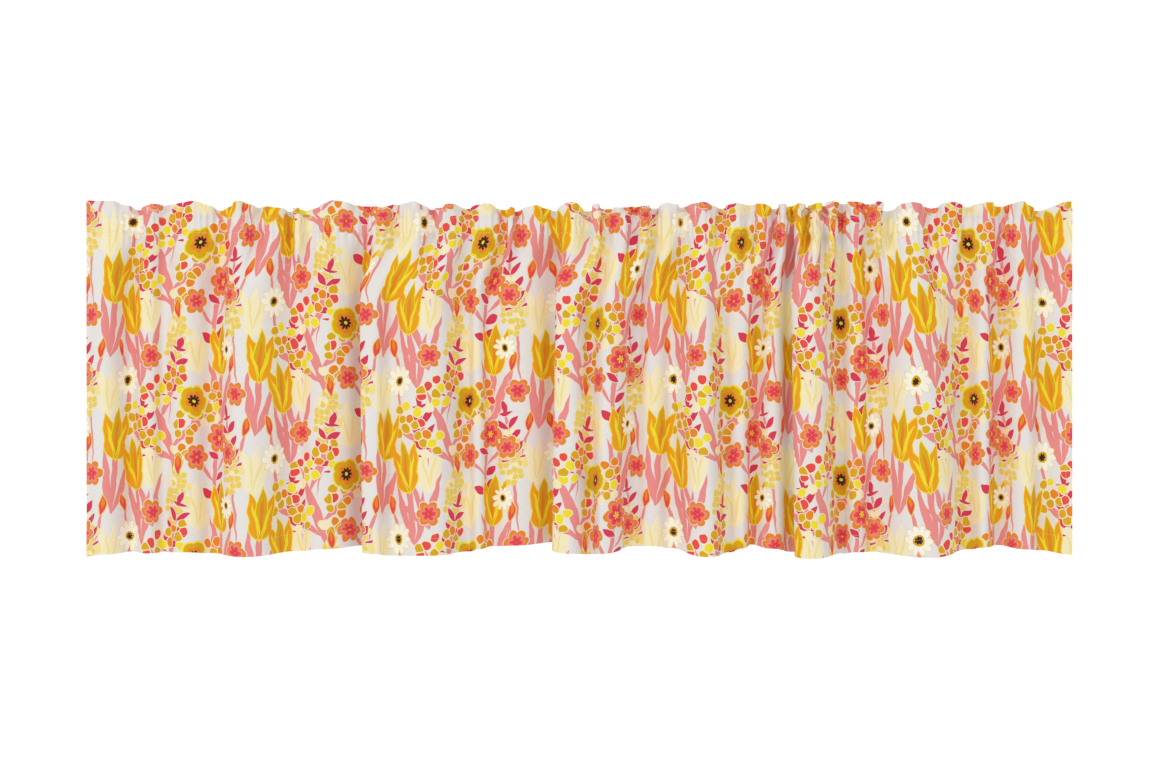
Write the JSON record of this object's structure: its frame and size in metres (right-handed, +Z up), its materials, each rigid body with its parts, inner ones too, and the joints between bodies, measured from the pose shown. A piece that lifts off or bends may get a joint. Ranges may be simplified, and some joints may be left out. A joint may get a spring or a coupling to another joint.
{
  "type": "window valance",
  "caption": "Short wide window valance of printed cotton, gathered at the top into a frilled heading and hanging in soft uneven folds to a wavy hem.",
  "frame": {"origin": "middle of the valance's top edge, where the heading is held up", "axes": "+X along the valance to the right as seen from the room, +Y towards the window, +Z up"},
  "size_m": [1.6816, 0.0722, 0.608],
  "materials": {
    "printed_cotton": "matt plain weave cotton, printed all over with flowers"
  },
  "bodies": {
    "root": {"valance_cloth": "printed_cotton"}
  },
  "joints": []
}
